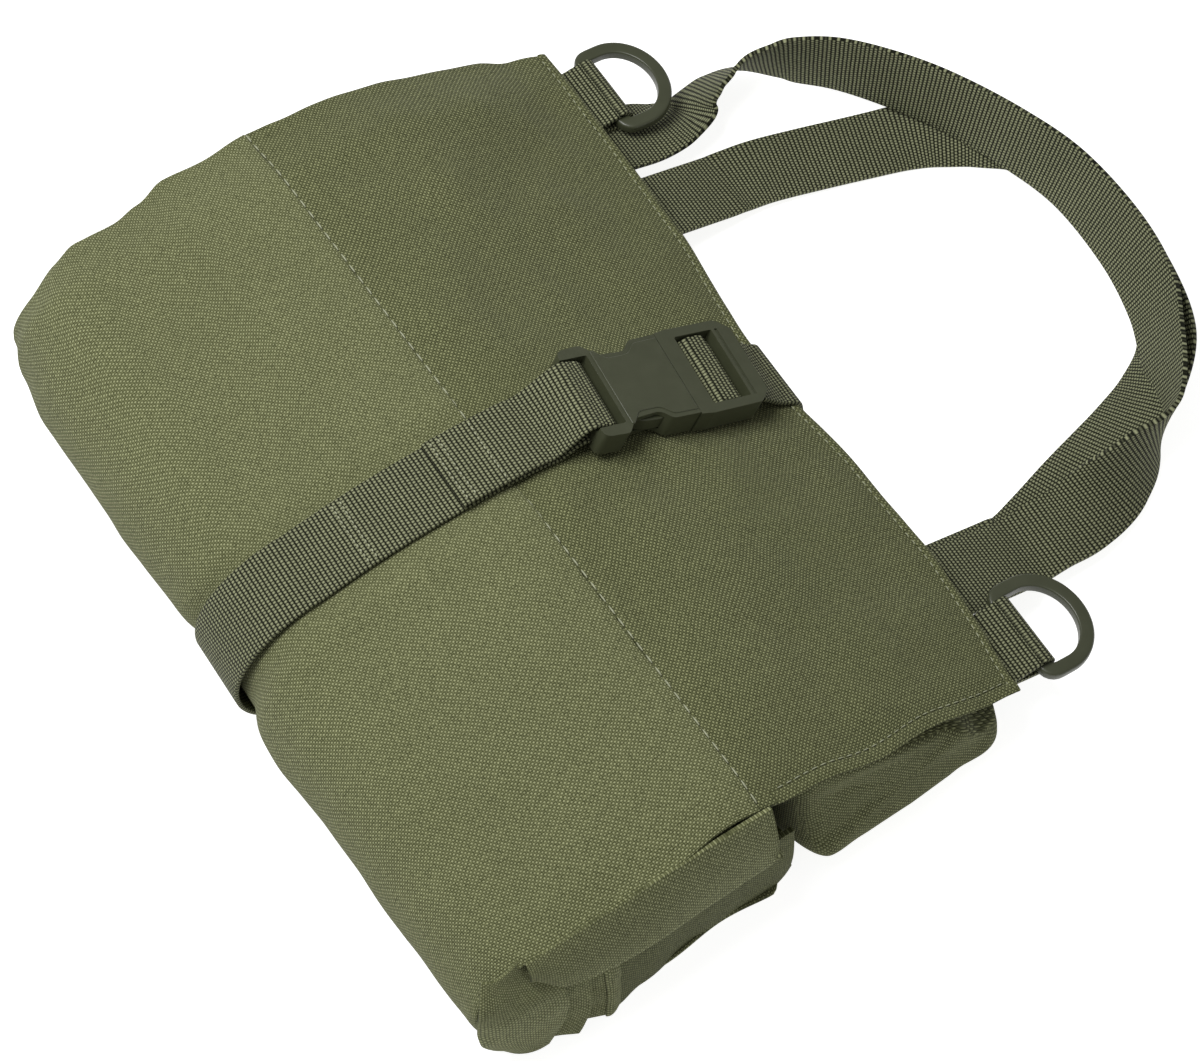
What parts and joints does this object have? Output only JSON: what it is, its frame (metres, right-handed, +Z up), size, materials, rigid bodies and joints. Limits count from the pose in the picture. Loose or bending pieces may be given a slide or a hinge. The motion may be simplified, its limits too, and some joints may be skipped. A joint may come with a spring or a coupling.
{
  "type": "folding stretcher",
  "caption": "Soft fabric stretcher folded into a flat pack, held by a strap with a side-release buckle, with D-rings and webbing carrying loops.",
  "frame": {"origin": "centre of the footprint, pack and loops together, on the surface that the pack stands on", "axes": "+X from the round fold to the carrying loops, +Y along the fold, +Z up"},
  "size_m": [0.3384, 0.28, 0.0732],
  "materials": {
    "pack_cloth": "coarse plain-woven coated polyester, olive, matt",
    "inner_cloth": "the same cloth inside the folds, olive, matt",
    "webbing": "ribbed polyester webbing, olive, matt",
    "buckle_plastic": "moulded acetal, dark olive, satin"
  },
  "bodies": {
    "root": {"buckle_loop": "webbing", "buckle_socket": "buckle_plastic", "closing_strap": "webbing", "core_bundle_lower": "inner_cloth", "core_bundle_upper": "inner_cloth", "cover_flap": "pack_cloth", "cross_webbing_far": "webbing", "cross_webbing_near": "webbing", "d_ring_tab_far": "webbing", "d_ring_tab_near": "webbing", "edge_hem": "pack_cloth", "end_pleat_far_1": "pack_cloth", "end_pleat_far_2": "pack_cloth", "end_pleat_far_3": "pack_cloth", "end_pleat_near_1": "pack_cloth", "end_pleat_near_2": "pack_cloth", "end_pleat_near_3": "pack_cloth", "end_tongue_far": "pack_cloth", "end_tongue_lower_near": "pack_cloth", "end_tongue_upper_near": "pack_cloth", "inner_turn_1": "inner_cloth", "inner_turn_2": "inner_cloth", "lower_handle_end_far": "webbing", "lower_handle_end_near": "webbing", "outer_sheet": "pack_cloth", "roll_core": "inner_cloth", "roll_turn": "inner_cloth", "upper_handle_end_far": "webbing", "upper_handle_end_near": "webbing"},
    "d_ring_far": {"d_ring_far": "buckle_plastic"},
    "d_ring_near": {"d_ring_near": "buckle_plastic"},
    "upper_handle": {"upper_handle_loop": "webbing"},
    "lower_handle": {"lower_handle_loop": "webbing"},
    "buckle_plug": {"buckle_plug": "buckle_plastic", "adjuster_webbing": "webbing", "edge_webbing": "webbing"},
    "latch_arm_far": {"latch_arm_far": "buckle_plastic"},
    "latch_arm_near": {"latch_arm_near": "buckle_plastic"}
  },
  "joints": [
    {"name": "d_ring_far_swing", "type": "hinge", "parent": "root", "child": "d_ring_far", "pos_m": [0.04317, 0.118, 0.02013], "axis": [0, -1, 0], "range_deg": [0, 95]},
    {"name": "d_ring_near_swing", "type": "hinge", "parent": "root", "child": "d_ring_near", "pos_m": [0.04317, -0.119, 0.02013], "axis": [0, -1, 0], "range_deg": [0, 95]},
    {"name": "upper_handle_swing", "type": "hinge", "parent": "root", "child": "upper_handle", "pos_m": [0.06567, 0, 0.00541], "axis": [0, -1, 0], "range_deg": [0, 55]},
    {"name": "lower_handle_swing", "type": "hinge", "parent": "root", "child": "lower_handle", "pos_m": [0.06567, 0, 0.00541], "axis": [0, -1, 0], "range_deg": [0, 55]},
    {"name": "buckle_draw", "type": "slide", "parent": "root", "child": "buckle_plug", "axis": [0.9118, -0.0798, -0.4027], "range_m": [0, 0.026], "deforming": ["edge_webbing"]},
    {"name": "latch_far_press", "type": "hinge", "parent": "buckle_plug", "child": "latch_arm_far", "pos_m": [-0.01016, 0.00939, 0.04951], "axis": [0.4012, -0.0351, 0.9153], "range_deg": [0, 6], "stiffness_Nm_per_rad": 0.05},
    {"name": "latch_near_press", "type": "hinge", "parent": "buckle_plug", "child": "latch_arm_near", "pos_m": [-0.01213, -0.01312, 0.04951], "axis": [-0.4012, 0.0351, -0.9153], "range_deg": [0, 6], "stiffness_Nm_per_rad": 0.05}
  ],
  "couplings": [
    {"joint": "lower_handle_swing", "follows": "upper_handle_swing", "ratio": 1}
  ]
}
